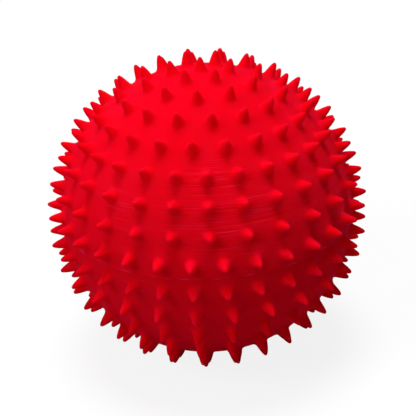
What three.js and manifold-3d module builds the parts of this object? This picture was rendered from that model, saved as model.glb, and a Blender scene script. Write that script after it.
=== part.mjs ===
// Spiky massage ball: a hollow ball of soft PVC, moulded in one with its spikes, and a valve in its foot.
// Millimetres, +Z up. It stands on the ring of spikes around the valve, with the floor at z = 0.
import * as THREE from "three";
import { ConvexHull } from "three/addons/math/ConvexHull.js";
import { mergeVertices } from "three/addons/utils/BufferGeometryUtils.js";
import Module from "manifold-3d";

// Skin of the ball
const BODY_RADIUS = 40.8; // from the centre to the skin between the spikes
const WALL = 3; // thickness of the skin

// One spike: a flare that rises out of the skin to a neck, then a straight cone with a blunt tip
const SPIKE_HEIGHT = 4.2; // from the skin to the tip
const FOOT_RADIUS = 2.4; // where the flare meets the skin
const NECK_RADIUS = 1.7; // where the flare meets the cone
const NECK_HEIGHT = 0.7;
const TIP_RADIUS = 0.4;
const SPIKE_SIDES = 5;

// Pattern: each half of the mould has the same rows, counted from the parting line to the pole,
// and a single spike at the pole. The starts say where each half's rows begin, to the right of the front (-Y).
const ROW_COUNTS = [31, 26, 26, 26, 21, 16, 11, 6];
const UPPER_START_DEGREES = 28;
const LOWER_START_DEGREES = -6.2;
const SPIKE_MARGIN = 0.2; // least skin between a spike's foot and the valve's land

// Valve plug: a flat head on a shank, with a bead that grips the sleeve
const HEAD_RADIUS = 3;
const HEAD_THICKNESS = 1;
const HEAD_CHAMFER = 0.3;
const SHANK_RADIUS = 1.5;
const SHANK_LENGTH = 7; // from under the head to the shank's end
const SHANK_TAPER = 0.4; // how far the shank narrows at its end
const BEAD_RADIUS = 1.75;
const BEAD_LENGTH = 1.2;
const BEAD_DEPTH = 4; // from under the head to the middle of the bead

// Valve sleeve: a flange that lies flush in the land, a barrel and a slit membrane across its inner end
const SLEEVE_WALL = 1; // from the plug's bore to the outside of the barrel
const FLANGE_REACH = 0.8; // how far the flange stands out from the barrel
const FLANGE_THICKNESS = 1;
const MEMBRANE = 0.8;
const SLIT_LENGTH = 2.4;
const SLIT_WIDTH = 0.3;
const NOSE_LENGTH = 1.5; // how far the barrel stands out of the boss, inside the ball

// Seat of the valve in the skin: a flat land outside and a boss inside
const LAND_RIM = 0.4; // flat skin around the flange
const BOSS_WALL = 2.4;

// Clearances
const BOND_GAP = 0.3; // between the sleeve and the skin, where the bond lies
const PLUG_GAP = 0.2; // around the bead and under the head of the plug
const END_GAP = 1.5; // from the end of the shank to the membrane

// How finely round shapes are divided
const TURNED_SIDES = 24;
const INSIDE_STEPS = 12;

// Worked out from the sizes above, with heights measured from the centre of the ball
const boreRadius = BEAD_RADIUS + PLUG_GAP;
const barrelRadius = boreRadius + SLEEVE_WALL;
const flangeRadius = barrelRadius + FLANGE_REACH;
const seatRadius = flangeRadius + BOND_GAP;
const holeRadius = barrelRadius + BOND_GAP;
const bossRadius = holeRadius + BOSS_WALL;
const landRadius = seatRadius + LAND_RIM;
const landHeight = -Math.sqrt(BODY_RADIUS ** 2 - landRadius ** 2);
const seatHeight = landHeight + FLANGE_THICKNESS + BOND_GAP;
const membraneHeight = landHeight - PLUG_GAP + SHANK_LENGTH + END_GAP;
const sleeveEnd = membraneHeight + MEMBRANE;
const bossEnd = sleeveEnd - NOSE_LENGTH;
const insideRadius = BODY_RADIUS - WALL;
const sideAngle = (2 * Math.PI) / SPIKE_SIDES;
const cornerReach = Math.sqrt(sideAngle / Math.sin(sideAngle)); // gives a spike's section the area of its circle
const footReach = FOOT_RADIUS * cornerReach;

const wasm = await Module();
wasm.setup();

function solid(geometry) {
  const bare = geometry.clone();
  bare.deleteAttribute("normal");
  bare.deleteAttribute("uv");
  const merged = mergeVertices(bare);
  return new wasm.Manifold(
    new wasm.Mesh({
      numProp: 3,
      vertProperties: merged.attributes.position.array,
      triVerts: new Uint32Array(merged.index.array),
    }),
  );
}

function geometryOf(manifold) {
  const { vertProperties, triVerts } = manifold.getMesh();
  const geometry = new THREE.BufferGeometry();
  geometry.setAttribute("position", new THREE.BufferAttribute(vertProperties, 3));
  geometry.setIndex(new THREE.BufferAttribute(triVerts, 1));
  geometry.computeVertexNormals();
  return geometry;
}

// A solid turned about the Z axis from a profile of [radius, height] pairs.
function turned(profile) {
  const points = profile.map(([radius, height]) => new THREE.Vector2(radius, height));
  return new THREE.LatheGeometry(points, TURNED_SIDES).rotateX(Math.PI / 2);
}

// Where every spike stands: the way it points, and two directions along the skin at its foot,
// one to the nearer pole and one to the side.
function spikePlaces() {
  const places = [];
  const pitch = Math.PI / (2 * ROW_COUNTS.length + 1);
  for (const [half, start] of [[1, UPPER_START_DEGREES], [-1, LOWER_START_DEGREES]]) {
    const rows = [...ROW_COUNTS, 1];
    rows.forEach((count, row) => {
      const latitude = Math.min((row + 0.5) * pitch, Math.PI / 2);
      for (let i = 0; i < count; i++) {
        const azimuth = THREE.MathUtils.degToRad(start) + (2 * Math.PI * i) / count;
        const out = new THREE.Vector3(Math.sin(azimuth), -Math.cos(azimuth), 0);
        const up = new THREE.Vector3(0, 0, half);
        const axis = out.clone().multiplyScalar(Math.cos(latitude)).addScaledVector(up, Math.sin(latitude));
        const poleward = up.multiplyScalar(Math.cos(latitude)).addScaledVector(out, -Math.sin(latitude));
        places.push({ axis, poleward, sideways: poleward.clone().cross(axis) });
      }
    });
  }
  return places;
}

// The valve's land takes the place of the spikes that would stand on it.
function clearOfLand({ axis }) {
  const fromPole = BODY_RADIUS * Math.hypot(axis.x, axis.y);
  return axis.z > 0 || fromPole > landRadius + footReach + SPIKE_MARGIN;
}

// Corners around a spike's axis, counter-clockwise from outside, at a distance from the ball's centre.
function ringAround({ axis, poleward, sideways }, reach, distance) {
  return Array.from({ length: SPIKE_SIDES }, (_, i) =>
    axis
      .clone()
      .multiplyScalar(distance)
      .addScaledVector(poleward, reach * Math.cos(i * sideAngle))
      .addScaledVector(sideways, -reach * Math.sin(i * sideAngle)),
  );
}

// The outside of the ball as one closed surface: the skin is the hull of the spikes' feet and the edge
// of the land, and each spike rises from its own foot.
function spikedBall() {
  const landEdge = Array.from({ length: TURNED_SIDES }, (_, i) => {
    const turn = (2 * Math.PI * i) / TURNED_SIDES;
    return new THREE.Vector3(landRadius * Math.cos(turn), landRadius * Math.sin(turn), landHeight);
  });
  const footDistance = Math.sqrt(BODY_RADIUS ** 2 - footReach ** 2);
  const spikes = spikePlaces().filter(clearOfLand).map((place) => [
    ringAround(place, footReach, footDistance),
    ringAround(place, NECK_RADIUS * cornerReach, BODY_RADIUS + NECK_HEIGHT),
    ringAround(place, TIP_RADIUS * cornerReach, BODY_RADIUS + SPIKE_HEIGHT),
  ]);
  const footOf = new Map();
  spikes.forEach(([foot], spike) => foot.forEach((point) => footOf.set(point, spike)));

  const corners = [];
  const hull = new ConvexHull().setFromPoints([...landEdge, ...footOf.keys()]);
  for (const { edge } of hull.faces) {
    const face = [edge.head().point, edge.next.head().point, edge.prev.head().point];
    const [a, b, c] = face.map((point) => footOf.get(point));
    const underSpike = a !== undefined && a === b && b === c;
    if (!underSpike) corners.push(...face);
  }
  for (const rings of spikes) {
    for (let band = 0; band + 1 < rings.length; band++) {
      const [low, high] = [rings[band], rings[band + 1]];
      low.forEach((point, i) => {
        const next = (i + 1) % SPIKE_SIDES;
        corners.push(point, low[next], high[next], point, high[next], high[i]);
      });
    }
    const tip = rings.at(-1);
    for (let i = 1; i + 1 < tip.length; i++) {
      corners.push(tip[0], tip[i], tip[i + 1]);
    }
  }
  return new THREE.BufferGeometry().setFromPoints(corners);
}

// The air space, with the boss standing up into it and the stepped hole for the valve below.
function airSpace() {
  const start = Math.acos(bossRadius / insideRadius);
  const wall = Array.from({ length: INSIDE_STEPS }, (_, i) => {
    const latitude = THREE.MathUtils.lerp(-start, Math.PI / 2, i / INSIDE_STEPS);
    return [insideRadius * Math.cos(latitude), insideRadius * Math.sin(latitude)];
  });
  return turned([
    [0, -BODY_RADIUS - FLANGE_THICKNESS],
    [seatRadius, -BODY_RADIUS - FLANGE_THICKNESS],
    [seatRadius, seatHeight],
    [holeRadius, seatHeight],
    [holeRadius, bossEnd],
    [bossRadius, bossEnd],
    ...wall,
    [0, insideRadius],
  ]);
}

function ballSkin() {
  return geometryOf(solid(spikedBall()).subtract(solid(airSpace())));
}

function valveSleeve() {
  const body = turned([
    [0, membraneHeight],
    [boreRadius, membraneHeight],
    [boreRadius, landHeight],
    [flangeRadius, landHeight],
    [flangeRadius, landHeight + FLANGE_THICKNESS],
    [barrelRadius, landHeight + FLANGE_THICKNESS],
    [barrelRadius, sleeveEnd],
    [0, sleeveEnd],
  ]);
  const slit = new THREE.BoxGeometry(SLIT_LENGTH, SLIT_WIDTH, 2 * MEMBRANE);
  slit.translate(0, 0, membraneHeight + MEMBRANE / 2);
  return geometryOf(solid(body).subtract(solid(slit)));
}

function valvePlug() {
  const under = landHeight - PLUG_GAP;
  const face = under - HEAD_THICKNESS;
  const bead = under + BEAD_DEPTH;
  const end = under + SHANK_LENGTH;
  return turned([
    [0, face],
    [HEAD_RADIUS - HEAD_CHAMFER, face],
    [HEAD_RADIUS, face + HEAD_CHAMFER],
    [HEAD_RADIUS, under],
    [SHANK_RADIUS, under],
    [SHANK_RADIUS, bead - BEAD_LENGTH / 2],
    [BEAD_RADIUS, bead],
    [SHANK_RADIUS, bead + BEAD_LENGTH / 2],
    [SHANK_RADIUS - SHANK_TAPER, end],
    [0, end],
  ]);
}

function piece(name, geometry, color, roughness) {
  const material = new THREE.MeshStandardMaterial({ color, roughness, metalness: 0 });
  const mesh = new THREE.Mesh(geometry, material);
  mesh.name = name;
  return mesh;
}

const ball = new THREE.Group();
ball.add(piece("ball_skin", ballSkin(), 0xe00820, 0.45));
ball.add(piece("valve_sleeve", valveSleeve(), 0x3a3a3c, 0.7));
ball.add(piece("valve_plug", valvePlug(), 0xe8e4da, 0.5));

// The lowest spike tips stand on the floor.
ball.position.z = -new THREE.Box3().setFromObject(ball).min.z;

const part = new THREE.Group();
part.add(ball);

export default part;
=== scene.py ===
# The looks of a spiky massage ball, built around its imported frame: the ball, the valve in its foot, a pale
# floor, soft studio light and the photograph's camera. Metres, +Z up, with the front on the -Y side.
import math

import bmesh
import bpy
from mathutils import Matrix, Vector


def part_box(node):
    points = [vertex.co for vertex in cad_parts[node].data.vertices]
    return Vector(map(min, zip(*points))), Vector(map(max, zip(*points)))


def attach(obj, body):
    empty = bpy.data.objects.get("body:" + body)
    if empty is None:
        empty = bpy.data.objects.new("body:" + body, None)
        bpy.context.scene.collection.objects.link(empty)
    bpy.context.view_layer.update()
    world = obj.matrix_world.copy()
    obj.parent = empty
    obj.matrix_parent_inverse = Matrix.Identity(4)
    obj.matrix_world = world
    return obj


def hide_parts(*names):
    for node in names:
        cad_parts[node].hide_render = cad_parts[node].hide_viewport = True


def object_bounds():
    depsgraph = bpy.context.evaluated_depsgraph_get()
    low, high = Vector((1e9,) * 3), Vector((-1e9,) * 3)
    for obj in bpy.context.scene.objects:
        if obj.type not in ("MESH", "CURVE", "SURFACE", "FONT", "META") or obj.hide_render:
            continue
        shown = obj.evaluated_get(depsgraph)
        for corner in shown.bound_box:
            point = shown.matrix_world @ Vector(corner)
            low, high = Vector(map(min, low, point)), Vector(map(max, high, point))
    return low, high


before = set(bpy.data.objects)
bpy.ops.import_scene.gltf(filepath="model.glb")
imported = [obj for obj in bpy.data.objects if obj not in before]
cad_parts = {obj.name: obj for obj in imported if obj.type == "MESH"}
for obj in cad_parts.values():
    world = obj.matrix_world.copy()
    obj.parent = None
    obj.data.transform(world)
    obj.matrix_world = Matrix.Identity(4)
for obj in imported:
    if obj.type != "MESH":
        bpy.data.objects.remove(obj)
cad_low, cad_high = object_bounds()


# Ball skin: one hollow ball of soft PVC. Liquid PVC is tumbled in a hot two-part mould until it has set on
# the walls, so the spikes, the flat land around the valve and the boss behind it are all one piece with it.
MM = 0.001
SKIN_RADIUS = 40.8 * MM
SKIN_WALL = 3 * MM
SPIKE_HEIGHT = 4.2 * MM
ball_centre = Vector((0, 0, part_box("ball_skin")[1].z - SKIN_RADIUS - SPIKE_HEIGHT))

# Each half of the mould has the same rows of spikes, counted from the parting line to the pole, where the
# last row is a single spike. The starts are measured to the right of the front.
SPIKE_ROWS = (31, 26, 26, 26, 21, 16, 11, 6, 1)
ROW_PITCH = math.pi / (2 * len(SPIKE_ROWS) - 1)
UPPER_START = math.radians(28)
LOWER_START = math.radians(-6.2)


def spike_directions():
    """The way that each spike points. The valve takes the place of the spike at the lower pole."""
    for half, start in ((1, UPPER_START), (-1, LOWER_START)):
        for row, count in enumerate(SPIKE_ROWS):
            latitude = min((row + 0.5) * ROW_PITCH, math.pi / 2)
            at_valve = half < 0 and count == 1
            for i in range(0 if at_valve else count):
                azimuth = start + 2 * math.pi * i / count
                out = Vector((math.sin(azimuth), -math.cos(azimuth), 0))
                yield out * math.cos(latitude) + Vector((0, 0, half * math.sin(latitude)))


# Points closer than the first of these are one. Edges that turn further than the second are rounded, and
# those that turn less than the third are shaded smooth.
MERGE_DISTANCE = 0.001 * MM
SHARP_ANGLE = math.radians(40)
SMOOTH_ANGLE = math.radians(60)


def turned(profile, steps):
    """A new bmesh, turned about the Z axis from a profile of radius and height pairs."""
    bm = bmesh.new()
    corners = [bm.verts.new((radius, 0, height)) for radius, height in profile]
    edges = [bm.edges.new(pair) for pair in zip(corners, corners[1:])]
    bmesh.ops.spin(
        bm,
        geom=corners + edges,
        cent=(0, 0, 0),
        axis=(0, 0, 1),
        angle=2 * math.pi,
        steps=steps,
        use_merge=True,
    )
    bmesh.ops.remove_doubles(bm, verts=bm.verts, dist=MERGE_DISTANCE)
    return bm


def soften(bm, width):
    """Rounds the sharp edges of a turned shape."""
    sharp = [edge for edge in bm.edges if edge.is_manifold and edge.calc_face_angle() > SHARP_ANGLE]
    bmesh.ops.bevel(bm, geom=sharp, offset=width, segments=2, profile=0.5, affect="EDGES", material=-1)


def cut(bm, faces, point, normal):
    """Divides these faces where a plane crosses them."""
    corners = dict.fromkeys(vert for face in faces for vert in face.verts)
    edges = dict.fromkeys(edge for face in faces for edge in face.edges)
    bmesh.ops.bisect_plane(
        bm, geom=[*corners, *edges, *faces], dist=MERGE_DISTANCE, plane_co=point, plane_no=normal
    )


def join(bm, other, mark):
    """Adds another bmesh to this one, with its vertices marked, and frees it."""
    marks = other.verts.layers.int.new("mark")
    for vert in other.verts:
        vert[marks] = mark
    carrier = bpy.data.meshes.new("carrier")
    other.to_mesh(carrier)
    other.free()
    bm.from_mesh(carrier)
    bpy.data.meshes.remove(carrier)


def finished(name, bm):
    """The finished piece, in its place, from a bmesh that is centred on the ball."""
    bmesh.ops.recalc_face_normals(bm, faces=bm.faces)
    bmesh.ops.translate(bm, verts=bm.verts, vec=ball_centre)
    mesh = bpy.data.meshes.new(name)
    bm.to_mesh(mesh)
    bm.free()
    mesh.shade_smooth()
    mesh.set_sharp_from_angle(angle=SMOOTH_ANGLE)
    piece = bpy.data.objects.new(name, mesh)
    bpy.context.scene.collection.objects.link(piece)
    return piece


# A spike flares out of the skin and narrows, with slightly rounded flanks, to a small blunt tip. Each point
# of the flank is a radius and a height above the skin, in millimetres.
SPIKE_SIDES = 10
FOOT_RADIUS = 2.5 * MM
SPIKE_FLANK = ((1.9, 0.25), (1.56, 0.8), (1.06, 2.55), (0.69, 3.5), (0.42, 3.99))
foot_height = math.sqrt(SKIN_RADIUS**2 - FOOT_RADIUS**2)
spike_profile = [(FOOT_RADIUS, foot_height)]
for radius, height in SPIKE_FLANK:
    spike_profile.append((radius * MM, SKIN_RADIUS + height * MM))
spike_profile.append((0, SKIN_RADIUS + SPIKE_HEIGHT))

# The valve's seat: a flat land, a step for the sleeve's flange and a hole through the boss. The inside wall
# goes on from the foot of the boss to the top of the ball.
LAND_RADIUS = 4.45 * MM
SEAT_RADIUS = 4.05 * MM
SEAT_DEPTH = 1.3 * MM
SEAT_EDGE = 0.1 * MM
HOLE_RADIUS = 3.25 * MM
BOSS_RADIUS = 5.65 * MM
BOSS_DEPTH = 7.6 * MM
SEAT_SIDES = 36
INSIDE_STEPS = 24
land_height = -math.sqrt(SKIN_RADIUS**2 - LAND_RADIUS**2)
inside_radius = SKIN_RADIUS - SKIN_WALL
boss_foot = -math.acos(BOSS_RADIUS / inside_radius)
seat_profile = [
    (LAND_RADIUS, land_height),
    (SEAT_RADIUS, land_height),
    (SEAT_RADIUS, land_height + SEAT_DEPTH),
    (HOLE_RADIUS, land_height + SEAT_DEPTH),
    (HOLE_RADIUS, land_height + BOSS_DEPTH),
    (BOSS_RADIUS, land_height + BOSS_DEPTH),
]
for step in range(INSIDE_STEPS + 1):
    latitude = boss_foot + (math.pi / 2 - boss_foot) * step / INSIDE_STEPS
    seat_profile.append((inside_radius * max(math.cos(latitude), 0), inside_radius * math.sin(latitude)))

# The marks keep the corners of the seat and of each spike apart from the loose points in the skin.
LOOSE_MARK = 0
SEAT_MARK = 1
FIRST_SPIKE_MARK = 2
skin = bmesh.new()
skin.verts.layers.int.new("mark")
seat = turned(seat_profile, SEAT_SIDES)
soften(seat, SEAT_EDGE)
join(skin, seat, SEAT_MARK)
one_spike = turned(spike_profile, SPIKE_SIDES)
directions = list(spike_directions())
for number, direction in enumerate(directions):
    spike = one_spike.copy()
    turn = Vector((0, 0, 1)).rotation_difference(direction).to_matrix()
    bmesh.ops.rotate(spike, cent=(0, 0, 0), matrix=turn, verts=spike.verts)
    join(skin, spike, FIRST_SPIKE_MARK + number)
one_spike.free()

# The skin between the spikes is stretched over their feet, the edge of the land and points spread over the
# ball. Points that crowd a foot or the land are left out, and so is the skin under each spike and the land.
POINT_MARGIN = 0.6 * MM
mark = skin.verts.layers.int["mark"]
points = bmesh.ops.create_icosphere(skin, subdivisions=5, radius=SKIN_RADIUS)["verts"]
near_spike = math.cos((FOOT_RADIUS + POINT_MARGIN) / SKIN_RADIUS)
near_land = -math.cos((LAND_RADIUS + POINT_MARGIN) / SKIN_RADIUS)
crowded = []
for point in points:
    way = point.co.normalized()
    if way.z < near_land or any(way.dot(direction) > near_spike for direction in directions):
        crowded.append(point)
bmesh.ops.delete(skin, geom=crowded, context="VERTS")
loose = [edge for edge in skin.edges if edge.verts[0][mark] == LOOSE_MARK]
bmesh.ops.delete(skin, geom=loose, context="EDGES_FACES")
on_ball = [vert for vert in skin.verts if abs(vert.co.length - SKIN_RADIUS) < MERGE_DISTANCE]
hull = bmesh.ops.convex_hull(skin, input=on_ball)["geom"]
hidden = []
for face in hull:
    if isinstance(face, bmesh.types.BMFace):
        marks = {vert[mark] for vert in face.verts}
        if len(marks) == 1 and LOOSE_MARK not in marks:
            hidden.append(face)
bmesh.ops.delete(skin, geom=hidden, context="FACES")

# The mould's halves leave a low ridge where they meet, round the middle of the ball.
RIDGE_HALF_WIDTH = 0.16 * MM
RIDGE_HEIGHT = 0.05 * MM
RIDGE_SLACK = 0.016 * MM
SKIN_SLACK = 0.2 * MM
for height in (-RIDGE_HALF_WIDTH, 0, RIDGE_HALF_WIDTH):
    band = []
    for face in skin.faces:
        if all(abs(vert.co.length - SKIN_RADIUS) < SKIN_SLACK for vert in face.verts):
            band.append(face)
    cut(skin, band, (0, 0, height), (0, 0, 1))
for vert in skin.verts:
    off_line = abs(vert.co.z)
    if off_line < RIDGE_HALF_WIDTH + RIDGE_SLACK and vert.co.length > inside_radius + SKIN_WALL / 2:
        rise = RIDGE_HEIGHT if off_line < RIDGE_SLACK else 0
        vert.co = vert.co.normalized() * (SKIN_RADIUS + rise)

ball_skin = finished("ball_skin_moulded", skin)


def linear(hex_colour):
    """An sRGB hex colour as linear red, green, blue and alpha."""
    channels = [int(hex_colour[i : i + 2], 16) / 255 for i in (0, 2, 4)]
    return (*(c / 12.92 if c <= 0.04045 else ((c + 0.055) / 1.055) ** 2.4 for c in channels), 1)


def add(tree, kind, inputs=None, **settings):
    """Adds a node with its settings, and its inputs as values or as the sockets that feed them.

    An input goes by its name, or by its number where the name is shared: in a Mix of colours, 0 is the share
    of the second colour, and 6 and 7 are the colours.
    """
    node = tree.nodes.new(kind)
    for name, value in settings.items():
        setattr(node, name, value)
    for name, value in (inputs or {}).items():
        if isinstance(value, bpy.types.NodeSocket):
            tree.links.new(value, node.inputs[name])
        else:
            node.inputs[name].default_value = value
    return node


# Soft PVC, cast against a steel mould that was turned on a lathe: a saturated red, nearly without gloss,
# that light sinks into, so that the thin spikes glow. The tool's rings show in patches where the mould was
# polished least, as relief with painted shade in their grooves and a painted highlight on their crests.
# Stretches of the parting line carry a painted highlight, and the spike tips are a little paler at their
# ends.
PVC_RED = linear("F0031E")
PVC_DEEP = linear("E60219")
# The groove colour is painted shade in the grooves between the rings.
PVC_GROOVE_SHADE = linear("CC0014")
# The pale colour is a painted highlight on the ring crests and the parting line, and it also makes the spike
# tips paler.
PVC_HIGHLIGHT_AND_PALE_TIP = linear("FC2A52")
CLOUD_SIZE = 14 * MM
TURNING_PITCH = 0.63 * MM
RING_WOBBLE = 2.4
RING_DEPTH = 0.01 * MM
RINGS_FADE_FROM = 0.1 * MM
RINGS_FADE_TO = 0.4 * MM
STREAK_LENGTH = 24 * MM
PATCH_SIZE = 30 * MM
LEAST_POLISHED = Vector((-0.18, -0.91, 0.37)) * SKIN_RADIUS
LINE_HALF_WIDTH = 0.12 * MM
LINE_FADE = 0.1 * MM
LINE_HIGHLIGHT_LENGTH = 4 * MM
TIP_LENGTH = 1.26 * MM
pvc = bpy.data.materials.new("red_pvc_rotation_moulded")
pvc.use_nodes = True
tree = pvc.node_tree
shader = tree.nodes["Principled BSDF"]
shader.inputs["IOR"].default_value = 1.53
shader.inputs["Specular IOR Level"].default_value = 0.004
shader.inputs["Subsurface Weight"].default_value = 1
shader.inputs["Subsurface Radius"].default_value = (4, 0.2, 0.15)
shader.inputs["Subsurface Scale"].default_value = 1 * MM
place = add(tree, "ShaderNodeTexCoord").outputs["Object"]
place = add(tree, "ShaderNodeMapping", {"Vector": place, "Location": -ball_centre}).outputs[0]
reach = add(tree, "ShaderNodeVectorMath", {0: place}, operation="LENGTH").outputs["Value"]
axes = add(tree, "ShaderNodeSeparateXYZ", {0: place}).outputs
on_skin = add(
    tree,
    "ShaderNodeMapRange",
    {
        "Value": reach,
        "From Min": SKIN_RADIUS + RINGS_FADE_FROM,
        "From Max": SKIN_RADIUS + RINGS_FADE_TO,
        "To Min": 1,
        "To Max": 0,
    },
).outputs[0]
clouds = add(
    tree, "ShaderNodeTexNoise", {"Vector": place, "Scale": 1 / CLOUD_SIZE, "Detail": 3}
).outputs["Fac"]
colour = add(
    tree, "ShaderNodeMix", {0: clouds, 6: PVC_DEEP, 7: PVC_RED}, data_type="RGBA"
).outputs[2]

# Rings of even pitch along the ball's axis, made uneven by long streaks
rise = add(tree, "ShaderNodeMath", {0: axes["Z"], 1: reach}, operation="DIVIDE").outputs[0]
latitude = add(tree, "ShaderNodeMath", {0: rise}, operation="ARCSINE").outputs[0]
rings = add(
    tree, "ShaderNodeMath", {0: latitude, 1: SKIN_RADIUS / TURNING_PITCH}, operation="MULTIPLY"
).outputs[0]
along = add(
    tree, "ShaderNodeVectorMath", {0: place, "Scale": 1 / STREAK_LENGTH}, operation="SCALE"
).outputs[0]
along = add(tree, "ShaderNodeSeparateXYZ", {0: along}).outputs
streak_place = add(tree, "ShaderNodeCombineXYZ", {0: along["X"], 1: along["Y"], 2: rings}).outputs[0]
streaks = add(
    tree, "ShaderNodeTexNoise", {"Vector": streak_place, "Scale": 1, "Detail": 2, "Roughness": 0.6}
).outputs["Fac"]
turns = add(
    tree, "ShaderNodeMath", {0: streaks, 1: RING_WOBBLE, 2: rings}, operation="MULTIPLY_ADD"
).outputs[0]
turns = add(tree, "ShaderNodeMath", {0: turns, 1: 2 * math.pi}, operation="MULTIPLY").outputs[0]
wave = add(tree, "ShaderNodeMath", {0: turns}, operation="SINE").outputs[0]

# Patches where the rings were left
patches = add(
    tree, "ShaderNodeTexNoise", {"Vector": place, "Scale": 1 / PATCH_SIZE, "Detail": 1}
).outputs["Fac"]
away = add(
    tree, "ShaderNodeVectorMath", {0: place, 1: LEAST_POLISHED}, operation="DISTANCE"
).outputs["Value"]
rough_cut = add(
    tree, "ShaderNodeMapRange", {"Value": away, "From Max": PATCH_SIZE, "To Min": 0.3, "To Max": 0}
).outputs[0]
patches = add(tree, "ShaderNodeMath", {0: patches, 1: rough_cut}, operation="ADD").outputs[0]
lined = add(
    tree, "ShaderNodeMapRange", {"Value": patches, "From Min": 0.5, "From Max": 0.75}
).outputs[0]
lined = add(tree, "ShaderNodeMath", {0: lined, 1: on_skin}, operation="MULTIPLY").outputs[0]
# Painted shade: the colour turns darker in the grooves between the rings.
groove_shade = add(
    tree, "ShaderNodeMapRange", {"Value": wave, "From Max": -1, "To Max": 0.3}
).outputs[0]
groove_shade = add(tree, "ShaderNodeMath", {0: groove_shade, 1: lined}, operation="MULTIPLY").outputs[0]
colour = add(tree, "ShaderNodeMix", {0: groove_shade, 6: colour, 7: PVC_GROOVE_SHADE}, data_type="RGBA").outputs[2]
# Painted highlight: the crests of the rings are painted paler, like a glint along each ridge.
crest_highlight = add(tree, "ShaderNodeMath", {0: wave, 1: streaks}, operation="MULTIPLY").outputs[0]
crest_highlight = add(
    tree, "ShaderNodeMapRange", {"Value": crest_highlight, "From Min": 0.3, "From Max": 0.7, "To Max": 0.6}
).outputs[0]
crest_highlight = add(tree, "ShaderNodeMath", {0: crest_highlight, 1: lined}, operation="MULTIPLY").outputs[0]

# Painted highlight on stretches of the parting line, and paler spike tips
off_line = add(tree, "ShaderNodeMath", {0: axes["Z"]}, operation="ABSOLUTE").outputs[0]
on_line = add(
    tree,
    "ShaderNodeMapRange",
    {
        "Value": off_line,
        "From Min": LINE_HALF_WIDTH,
        "From Max": LINE_HALF_WIDTH + LINE_FADE,
        "To Min": 1,
        "To Max": 0,
    },
).outputs[0]
stretches = add(
    tree, "ShaderNodeTexNoise", {"Vector": place, "Scale": 1 / LINE_HIGHLIGHT_LENGTH, "Detail": 1}
).outputs["Fac"]
stretches = add(
    tree, "ShaderNodeMapRange", {"Value": stretches, "From Min": 0.5, "From Max": 0.62}
).outputs[0]
# Painted highlight: stretches of the parting line are painted paler.
line_highlight = add(tree, "ShaderNodeMath", {0: on_line, 1: stretches}, operation="MULTIPLY").outputs[0]
at_tip = add(
    tree,
    "ShaderNodeMapRange",
    {
        "Value": reach,
        "From Min": SKIN_RADIUS + SPIKE_HEIGHT - TIP_LENGTH,
        "From Max": SKIN_RADIUS + SPIKE_HEIGHT,
        "To Max": 0.1,
    },
).outputs[0]
highlight_and_pale_tip = add(tree, "ShaderNodeMath", {0: crest_highlight, 1: line_highlight}, operation="MAXIMUM").outputs[0]
highlight_and_pale_tip = add(tree, "ShaderNodeMath", {0: highlight_and_pale_tip, 1: at_tip}, operation="MAXIMUM").outputs[0]
colour = add(tree, "ShaderNodeMix", {0: highlight_and_pale_tip, 6: colour, 7: PVC_HIGHLIGHT_AND_PALE_TIP}, data_type="RGBA").outputs[2]
tree.links.new(colour, shader.inputs["Base Color"])
roughness = add(
    tree,
    "ShaderNodeMapRange",
    {"Value": clouds, "From Min": 0.3, "From Max": 0.7, "To Min": 0.72, "To Max": 0.8},
).outputs[0]
tree.links.new(roughness, shader.inputs["Roughness"])
relief = add(tree, "ShaderNodeMath", {0: wave, 1: lined}, operation="MULTIPLY").outputs[0]
bump = add(tree, "ShaderNodeBump", {"Height": relief, "Strength": 1, "Distance": RING_DEPTH}).outputs[0]
tree.links.new(bump, shader.inputs["Normal"])

ball_skin.data.materials.append(pvc)
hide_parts("ball_skin")
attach(ball_skin, "ball")


# Valve sleeve: a soft black rubber tube, moulded apart and bonded into the boss from outside. Its flange
# lies flush in the land, and a slit membrane across its inner end lets a needle in and keeps the air from
# coming out.
SLEEVE_SIDES = 36
SLEEVE_EDGE = 0.12 * MM
BORE_RADIUS = 1.95 * MM
BARREL_RADIUS = 2.95 * MM
FLANGE_RADIUS = 3.75 * MM
FLANGE_THICKNESS = 1 * MM
MEMBRANE = 0.8 * MM
SLIT_LENGTH = 2.4 * MM
SLIT_WIDTH = 0.3 * MM
sleeve_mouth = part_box("valve_sleeve")[0].z - ball_centre.z
sleeve_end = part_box("valve_sleeve")[1].z - ball_centre.z
sleeve = turned(
    [
        (BORE_RADIUS, sleeve_end - MEMBRANE),
        (BORE_RADIUS, sleeve_mouth),
        (FLANGE_RADIUS, sleeve_mouth),
        (FLANGE_RADIUS, sleeve_mouth + FLANGE_THICKNESS),
        (BARREL_RADIUS, sleeve_mouth + FLANGE_THICKNESS),
        (BARREL_RADIUS, sleeve_end),
    ],
    SLEEVE_SIDES,
)
soften(sleeve, SLEEVE_EDGE)
bmesh.ops.holes_fill(sleeve, edges=[edge for edge in sleeve.edges if edge.is_boundary], sides=0)

# The slit's outline is cut into both faces of the membrane, and its walls join the two.
LEVEL = 0.99
AXIS_SLACK = 0.01 * MM
below_membrane = sleeve_end - 1.1 * MEMBRANE
for way, half in ((Vector((0, 1, 0)), SLIT_WIDTH / 2), (Vector((1, 0, 0)), SLIT_LENGTH / 2)):
    for side in (-1, 1):
        discs = []
        for face in sleeve.faces:
            middle = face.calc_center_median()
            on_membrane = abs(face.normal.z) > LEVEL and middle.z > below_membrane
            beside_slit = way.x and abs(middle.y) >= SLIT_WIDTH / 2
            if on_membrane and not beside_slit:
                discs.append(face)
        cut(sleeve, discs, way * half * side, way)
slit = []
for face in sleeve.faces:
    on_axis = face.calc_center_median().to_2d().length < AXIS_SLACK
    if on_axis and abs(face.normal.z) > LEVEL:
        slit.append(face)
slit_edges = [edge for face in slit for edge in face.edges]
bmesh.ops.delete(sleeve, geom=slit, context="FACES_ONLY")
bmesh.ops.bridge_loops(sleeve, edges=slit_edges)
valve_sleeve = finished("valve_sleeve_bonded", sleeve)

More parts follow.
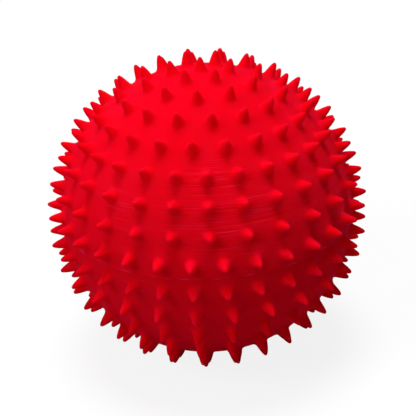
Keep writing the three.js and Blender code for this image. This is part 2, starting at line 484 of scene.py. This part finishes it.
# Moulded black rubber: dark, matt and very slightly grainy, with a thin grey bloom where sulphur comes to the
# surface.
RUBBER_BLACK = linear("2A2A2B")
RUBBER_BLOOM = linear("4A4A49")
BLOOM_SIZE = 1.5 * MM
RUBBER_GRAIN = 0.12 * MM
GRAIN_DEPTH = 0.02 * MM
rubber = bpy.data.materials.new("black_rubber_moulded")
rubber.use_nodes = True
tree = rubber.node_tree
shader = tree.nodes["Principled BSDF"]
shader.inputs["IOR"].default_value = 1.52
place = add(tree, "ShaderNodeTexCoord").outputs["Object"]
bloom = add(
    tree, "ShaderNodeTexNoise", {"Vector": place, "Scale": 1 / BLOOM_SIZE, "Detail": 4}
).outputs["Fac"]
bloom_share = add(
    tree, "ShaderNodeMapRange", {"Value": bloom, "From Min": 0.4, "From Max": 0.75, "To Max": 0.7}
).outputs[0]
colour = add(
    tree, "ShaderNodeMix", {0: bloom_share, 6: RUBBER_BLACK, 7: RUBBER_BLOOM}, data_type="RGBA"
).outputs[2]
tree.links.new(colour, shader.inputs["Base Color"])
roughness = add(tree, "ShaderNodeMapRange", {"Value": bloom, "To Min": 0.55, "To Max": 0.8}).outputs[0]
tree.links.new(roughness, shader.inputs["Roughness"])
grain = add(
    tree, "ShaderNodeTexNoise", {"Vector": place, "Scale": 1 / RUBBER_GRAIN, "Detail": 2}
).outputs["Fac"]
bump = add(tree, "ShaderNodeBump", {"Height": grain, "Strength": 0.4, "Distance": GRAIN_DEPTH}).outputs[0]
tree.links.new(bump, shader.inputs["Normal"])

valve_sleeve.data.materials.append(rubber)
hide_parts("valve_sleeve")
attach(valve_sleeve, "ball")


# Valve plug: a small push-in stopper of natural polythene, injection moulded in one shot through the middle
# of its flat head. A bead round its shank grips the sleeve, and it is pulled out by its head to pump the
# ball up.
PLUG_SIDES = 36
PLUG_EDGE = 0.08 * MM
HEAD_RADIUS = 3 * MM
HEAD_THICKNESS = 1 * MM
HEAD_CHAMFER = 0.3 * MM
GATE_RADIUS = 0.5 * MM
GATE_DEPTH = 0.12 * MM
SHANK_RADIUS = 1.5 * MM
SHANK_END_RADIUS = 1.1 * MM
BEAD_RADIUS = 1.75 * MM
BEAD_HALF_LENGTH = 0.6 * MM
BEAD_DEPTH = 4 * MM
head_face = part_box("valve_plug")[0].z - ball_centre.z
shank_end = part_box("valve_plug")[1].z - ball_centre.z
under_head = head_face + HEAD_THICKNESS
bead = under_head + BEAD_DEPTH
plug = turned(
    [
        (0, head_face + GATE_DEPTH),
        (GATE_RADIUS, head_face + GATE_DEPTH),
        (GATE_RADIUS + GATE_DEPTH, head_face),
        (HEAD_RADIUS - HEAD_CHAMFER, head_face),
        (HEAD_RADIUS, head_face + HEAD_CHAMFER),
        (HEAD_RADIUS, under_head),
        (SHANK_RADIUS, under_head),
        (SHANK_RADIUS, bead - BEAD_HALF_LENGTH),
        (BEAD_RADIUS, bead),
        (SHANK_RADIUS, bead + BEAD_HALF_LENGTH),
        (SHANK_END_RADIUS, shank_end),
        (0, shank_end),
    ],
    PLUG_SIDES,
)
soften(plug, PLUG_EDGE)
valve_plug = finished("valve_plug_moulded", plug)

# Natural polythene, moulded: milky off-white and waxy, a little cloudy inside, with fine scuffs from being
# handled.
POLYTHENE = linear("E9E5DB")
POLYTHENE_WARM = linear("DED6C4")
POLYTHENE_CLOUD = 2 * MM
SCUFF_LENGTH = 1.2 * MM
SCUFF_WIDTH = 0.1 * MM
SCUFF_DEPTH = 0.01 * MM
polythene = bpy.data.materials.new("natural_polythene_moulded")
polythene.use_nodes = True
tree = polythene.node_tree
shader = tree.nodes["Principled BSDF"]
shader.inputs["IOR"].default_value = 1.51
shader.inputs["Subsurface Weight"].default_value = 0.15
shader.inputs["Subsurface Radius"].default_value = (0.6 * MM, 0.5 * MM, 0.4 * MM)
shader.inputs["Subsurface Scale"].default_value = 1
place = add(tree, "ShaderNodeTexCoord").outputs["Object"]
cloud = add(
    tree, "ShaderNodeTexNoise", {"Vector": place, "Scale": 1 / POLYTHENE_CLOUD, "Detail": 3}
).outputs["Fac"]
colour = add(
    tree, "ShaderNodeMix", {0: cloud, 6: POLYTHENE, 7: POLYTHENE_WARM}, data_type="RGBA"
).outputs[2]
tree.links.new(colour, shader.inputs["Base Color"])
scuff_scale = (1 / SCUFF_LENGTH, 1 / SCUFF_WIDTH, 1 / SCUFF_LENGTH)
scuff_place = add(tree, "ShaderNodeMapping", {"Vector": place, "Scale": scuff_scale}).outputs[0]
scuffs = add(tree, "ShaderNodeTexNoise", {"Vector": scuff_place, "Scale": 1, "Detail": 2}).outputs["Fac"]
roughness = add(
    tree,
    "ShaderNodeMapRange",
    {"Value": scuffs, "From Min": 0.4, "From Max": 0.7, "To Min": 0.34, "To Max": 0.55},
).outputs[0]
tree.links.new(roughness, shader.inputs["Roughness"])
bump = add(tree, "ShaderNodeBump", {"Height": scuffs, "Strength": 0.3, "Distance": SCUFF_DEPTH}).outputs[0]
tree.links.new(bump, shader.inputs["Normal"])

valve_plug.data.materials.append(polythene)
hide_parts("valve_plug")
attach(valve_plug, "plug")


# Floor: white studio paper. It looks white to the camera and in reflections, keeps the shadow, throws little
# light back up, and is clear from below, so that the valve can be seen.
FLOOR_HALF_WIDTH = 3
PAPER_SEEN = linear("F2F2F2")
PAPER_THROWING_LIGHT = linear("969696")
PAPER_GLOW = 0.86
WHITE = (1, 1, 1, 1)
floor_bm = bmesh.new()
bmesh.ops.create_grid(floor_bm, x_segments=8, y_segments=8, size=FLOOR_HALF_WIDTH)
bmesh.ops.translate(floor_bm, verts=floor_bm.verts, vec=(0, 0, cad_low.z))
floor_mesh = bpy.data.meshes.new("floor")
floor_bm.to_mesh(floor_mesh)
floor_bm.free()
floor = bpy.data.objects.new("floor", floor_mesh)
scene = bpy.context.scene
scene.collection.objects.link(floor)


def shown(tree):
    """A socket that is 1 for rays that show a surface: from the camera, in a reflection or through glass."""
    rays = add(tree, "ShaderNodeLightPath").outputs
    share = rays["Is Camera Ray"]
    for kind in ("Is Glossy Ray", "Is Transmission Ray"):
        share = add(tree, "ShaderNodeMath", {0: share, 1: rays[kind]}, operation="MAXIMUM").outputs[0]
    return share


paper = bpy.data.materials.new("white_studio_paper")
paper.use_nodes = True
tree = paper.node_tree
tree.nodes.remove(tree.nodes["Principled BSDF"])
tone = add(
    tree, "ShaderNodeMix", {0: shown(tree), 6: PAPER_THROWING_LIGHT, 7: PAPER_SEEN}, data_type="RGBA"
).outputs[2]
matt = add(tree, "ShaderNodeBsdfDiffuse", {"Color": tone}).outputs[0]
glow = add(tree, "ShaderNodeEmission", {"Color": WHITE, "Strength": 1}).outputs[0]
straight = add(tree, "ShaderNodeLightPath").outputs["Is Camera Ray"]
share = add(tree, "ShaderNodeMath", {0: straight, 1: PAPER_GLOW}, operation="MULTIPLY").outputs[0]
lit = add(tree, "ShaderNodeMixShader", {0: share, 1: matt, 2: glow}).outputs[0]
under = add(tree, "ShaderNodeNewGeometry").outputs["Backfacing"]
clear = add(tree, "ShaderNodeBsdfTransparent").outputs[0]
one_way = add(tree, "ShaderNodeMixShader", {0: under, 1: lit, 2: clear}).outputs[0]
tree.links.new(one_way, tree.nodes["Material Output"].inputs["Surface"])
floor.data.materials.append(paper)


# Light: a large soft lamp overhead, a weaker one from the front left, and a little light from all round. The
# room behind looks white. Each lamp has a direction, a strength that lights a facing white to that share, and
# the width that it spans in degrees.
FILL_LEVEL = 0.1
LAMP_DISTANCE = 0.6
LAMPS = (
    ("softbox_overhead", Vector((-0.03, 0, 1)), 0.83, 24),
    ("softbox_left", Vector((-0.6, -0.45, 0.66)), 0.37, 24),
)
scene.view_settings.view_transform = "Standard"
world = bpy.data.worlds.new("studio")
world.use_nodes = True
scene.world = world
tree = world.node_tree
level = add(
    tree, "ShaderNodeMapRange", {"Value": shown(tree), "To Min": FILL_LEVEL, "To Max": 1}
).outputs[0]
tree.links.new(level, tree.nodes["Background"].inputs["Strength"])
tree.nodes["Background"].inputs["Color"].default_value = WHITE
for name, way, strength, width in LAMPS:
    lamp = bpy.data.lights.new(name, "SUN")
    lamp.energy = strength * math.pi
    lamp.angle = math.radians(width)
    holder = bpy.data.objects.new(name, lamp)
    holder.rotation_mode = "QUATERNION"
    holder.rotation_quaternion = way.to_track_quat("Z", "Y")
    holder.location = ball_centre + way * LAMP_DISTANCE
    scene.collection.objects.link(holder)


# Camera: a long lens, looking down on the ball from the front, rolled a little so that the upper pole leans
# to the left. The ball's size and place in the picture, in pixels, come from fitting it to the photograph.
PICTURE_SIDE = 416
SENSOR = 36
RADIUS_IN_PIXELS = 143.8
CENTRE_IN_PIXELS = (207.1, 207.2)
CAMERA_DISTANCE = 8.42 * SKIN_RADIUS
CAMERA_AZIMUTH = math.radians(-0.2)
CAMERA_ELEVATION = math.radians(26.7)
CAMERA_ROLL = math.radians(-2.77)
level_right = Vector((math.cos(CAMERA_AZIMUTH), math.sin(CAMERA_AZIMUTH), 0))
level_back = Vector((math.sin(CAMERA_AZIMUTH), -math.cos(CAMERA_AZIMUTH), 0))
back = level_back * math.cos(CAMERA_ELEVATION) + Vector((0, 0, math.sin(CAMERA_ELEVATION)))
level_up = Vector((0, 0, math.cos(CAMERA_ELEVATION))) - level_back * math.sin(CAMERA_ELEVATION)
right = level_right * math.cos(CAMERA_ROLL) + level_up * math.sin(CAMERA_ROLL)
up = level_up * math.cos(CAMERA_ROLL) - level_right * math.sin(CAMERA_ROLL)
view = bpy.data.cameras.new("camera")
view.sensor_width = SENSOR
view.lens = SENSOR * RADIUS_IN_PIXELS * CAMERA_DISTANCE / SKIN_RADIUS / PICTURE_SIDE
view.shift_x = 0.5 - CENTRE_IN_PIXELS[0] / PICTURE_SIDE
view.shift_y = CENTRE_IN_PIXELS[1] / PICTURE_SIDE - 0.5
view.clip_start = 0.01
camera = bpy.data.objects.new("camera", view)
camera_place = Matrix.Translation(ball_centre + back * CAMERA_DISTANCE)
camera_turn = Matrix((right, up, back)).transposed().to_4x4()
camera.matrix_world = camera_place @ camera_turn
scene.collection.objects.link(camera)
scene.camera = camera
